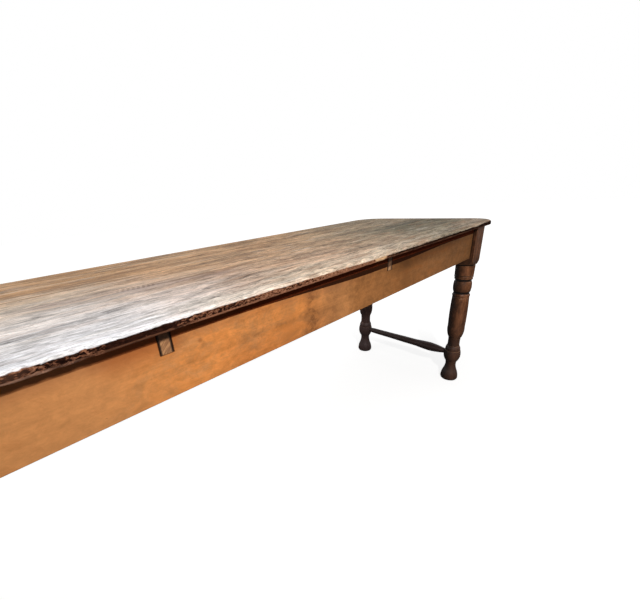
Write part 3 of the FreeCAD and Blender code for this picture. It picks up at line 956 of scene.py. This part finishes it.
def edge_strip(mesh):
    """The faces of the board's outer edge, cut small enough to chip."""
    strip = []
    for face in mesh.faces:
        near = outline(face.calc_center_median())[0] < worn_reach
        inside = all(outline(point.co)[0] < worn_reach for point in face.verts)
        if near and inside and abs(face.normal.z) < flat_normal:
            strip.append(face)
    strip = cut(mesh, strip, 0, steps(-table_end, table_end, worn_step))
    ends = []
    sides = []
    for face in strip:
        at_end = abs(face.calc_center_median().x) > table_end - corner_radius
        (ends if at_end else sides).append(face)
    ends = cut(mesh, ends, 1, steps(-table_side, table_side, worn_step))
    return cut(mesh, ends + sides, 2, worn_levels)


def chip_points(mesh, strip):
    """The strip's points are moved into chips and waves, and each keeps its chip's share for the shader."""
    depth = mesh.verts.layers.float.new("worn")
    for point in {point for face in strip for point in face.verts}:
        inside, direction = outline(point.co)
        share = chipping(point.co)
        point[depth] = share
        wave = 0.5 + 0.5 * noise.noise(point.co * wave_frequency)
        amount = (chip_depth * share + wave_depth * wave) * ramp(inside, *wear_fade)
        lift = share_between(point.co.z, top_level - worn_height, top_level)
        point.co -= amount * (direction + Vector((0, 0, chip_slope * lift)))


def shade(mesh, strip):
    """The strip is shaded smooth apart from sharp edges, and the rest flat."""
    for face in mesh.faces:
        face.smooth = False
    for face in strip:
        face.smooth = True
    mesh.normal_update()
    for edge in mesh.edges:
        kinds = {face.smooth for face in edge.link_faces}
        edge.smooth = len(kinds) == 1 and edge.calc_face_angle(math.pi) < smooth_angle


def wear_board(name, material):
    """A board's solid is replaced by a copy whose edge is chipped and wavy."""
    mesh = bmesh.new()
    mesh.from_mesh(nodes[name].data)
    bmesh.ops.remove_doubles(mesh, verts=mesh.verts, dist=weld_distance)
    bmesh.ops.dissolve_limit(mesh, angle_limit=flat_angle, verts=mesh.verts, edges=mesh.edges)
    strip = edge_strip(mesh)
    chip_points(mesh, strip)
    shade(mesh, strip)
    worn_mesh = bpy.data.meshes.new(f"worn_{name}")
    mesh.to_mesh(worn_mesh)
    mesh.free()
    if "custom_normal" in worn_mesh.attributes:
        worn_mesh.attributes.remove(worn_mesh.attributes["custom_normal"])
    worn_mesh.materials.clear()
    worn_mesh.materials.append(material)
    board = bpy.data.objects.new(f"worn_{name}", worn_mesh)
    bpy.context.scene.collection.objects.link(board)
    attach(board, "root")
    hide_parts(name)


def dress(names, material):
    """These CAD nodes get the material in place of their plain one."""
    for name in names:
        slots = nodes[name].data.materials
        for index in range(len(slots)):
            slots[index] = material


def dress_all():
    """Every CAD node's material."""
    for number, name in enumerate(top_boards):
        wood = scrubbed_top(f"scrubbed_{name}", number + 1)
        dress([name], wood)
        wear_board(name, wood)
    dress(["front_apron"], honey_pine("front_pine", 1, "x", marked=True, notched=True))
    dress(["back_apron"], honey_pine("back_pine", 2, "x", notched=True))
    dress(["left_end_apron"], honey_pine("left_pine", 3, "y"))
    dress(["right_end_apron"], honey_pine("right_pine", 4, "y"))
    for number, name in enumerate(sorted(name for name in nodes if name.endswith("_leg"))):
        look = front_leg_look if name.startswith("front") else back_leg_look
        dress([name], dark_turned_wood(f"{name}_wood", number + 1, look))
    stretcher_wood = dark_turned_wood("stretcher_wood", 7, stretcher_look)
    dress([name for name in nodes if name.endswith("_stretcher")], stretcher_wood)
    dress(["left_bearer", "right_bearer"], bearer_wood("bearer_wood", 1))
    dress(["apron_pegs", "stretcher_pegs"], peg_wood("peg_wood"))
    dress(["bearer_screws"], dull_iron("dull_iron"))
    dress(["glue_blocks"], honey_pine("block_pine", 5, "x", gloom=block_gloom))


def add_camera():
    """The camera at the photo's place, angle and lens."""
    yaw_cos, yaw_sin = math.cos(camera_yaw), math.sin(camera_yaw)
    pitch_cos, pitch_sin = math.cos(camera_pitch), math.sin(camera_pitch)
    roll_cos, roll_sin = math.cos(camera_roll), math.sin(camera_roll)
    forward = Vector((pitch_cos * yaw_cos, pitch_cos * yaw_sin, -pitch_sin))
    level_right = Vector((yaw_sin, -yaw_cos, 0))
    level_down = forward.cross(level_right)
    right = roll_cos * level_right + roll_sin * level_down
    down = roll_cos * level_down - roll_sin * level_right
    data = bpy.data.cameras.new("camera")
    data.sensor_fit = "HORIZONTAL"
    data.sensor_width = sensor_width
    data.lens = focal_pixels * sensor_width / image_width
    data.shift_x = (image_width / 2 - principal_point[0]) / image_width
    data.shift_y = (principal_point[1] - image_height / 2) / image_width
    data.clip_start = clip_start
    camera = bpy.data.objects.new("camera", data)
    turn = Matrix((right, -down, -forward)).transposed().to_4x4()
    camera.matrix_world = Matrix.Translation(camera_place) @ turn
    bpy.context.scene.collection.objects.link(camera)
    bpy.context.scene.camera = camera


def add_lamp(name, place, aim, power, size, colour):
    """A soft square lamp at place, turned towards aim."""
    data = bpy.data.lights.new(name, "AREA")
    data.shape = "RECTANGLE"
    data.size = size
    data.size_y = size
    data.energy = power
    data.color = colour
    lamp = bpy.data.objects.new(name, data)
    lamp.location = place
    lamp.rotation_euler = (aim - place).to_track_quat("-Z", "Y").to_euler()
    bpy.context.scene.collection.objects.link(lamp)


def add_world():
    """Even pale surroundings: white to the camera, in reflections and through glass, and a low fill."""
    world = bpy.data.worlds.new("surroundings")
    bpy.context.scene.world = world
    world.use_nodes = True
    tree = world.node_tree
    back = tree.nodes["Background"]
    path = tree.nodes.new("ShaderNodeLightPath")
    seen = path.outputs["Is Camera Ray"]
    for kind in ("Is Glossy Ray", "Is Transmission Ray"):
        either = tree.nodes.new("ShaderNodeMath")
        either.operation = "MAXIMUM"
        tree.links.new(seen, either.inputs[0])
        tree.links.new(path.outputs[kind], either.inputs[1])
        seen = either.outputs[0]
    strength = tree.nodes.new("ShaderNodeMapRange")
    strength.inputs["To Min"].default_value = world_fill
    strength.inputs["To Max"].default_value = 1.0
    tree.links.new(seen, strength.inputs["Value"])
    tree.links.new(strength.outputs["Result"], back.inputs["Strength"])
    back.inputs["Color"].default_value = white


def add_floor():
    """A pale floor that keeps the table's shadow and looks white to the camera."""
    half = floor_size / 2
    corners = [(-half, -half, 0), (half, -half, 0), (half, half, 0), (-half, half, 0)]
    mesh = bpy.data.meshes.new("floor")
    mesh.from_pydata(corners, [], [(0, 1, 2, 3)])
    floor = bpy.data.objects.new("floor", mesh)
    bpy.context.scene.collection.objects.link(floor)
    shader = Shader("pale_floor")
    seen = shader.make("ShaderNodeLightPath", {}).outputs["Is Camera Ray"]
    shader.join(shader.mix(seen, floor_tone, floor_seen_tone), shader.surface.inputs["Base Color"])
    shader.surface.inputs["Roughness"].default_value = floor_roughness
    shader.surface.inputs["Specular IOR Level"].default_value = 0.0
    shader.surface.inputs["Emission Color"].default_value = white
    reach = shader.make("ShaderNodeVectorMath", {0: shader.place()}, operation="LENGTH").outputs["Value"]
    shader.join(shader.product(seen, (reach, *floor_glow)), shader.surface.inputs["Emission Strength"])
    mesh.materials.append(shader.material)


add_camera()
add_lamp("key", key_place, key_aim, key_power, key_size, key_colour)
add_lamp("sky", sky_place, sky_aim, sky_power, sky_size, sky_colour)
add_world()
add_floor()
dress_all()
bpy.context.scene.view_settings.view_transform = "Standard"
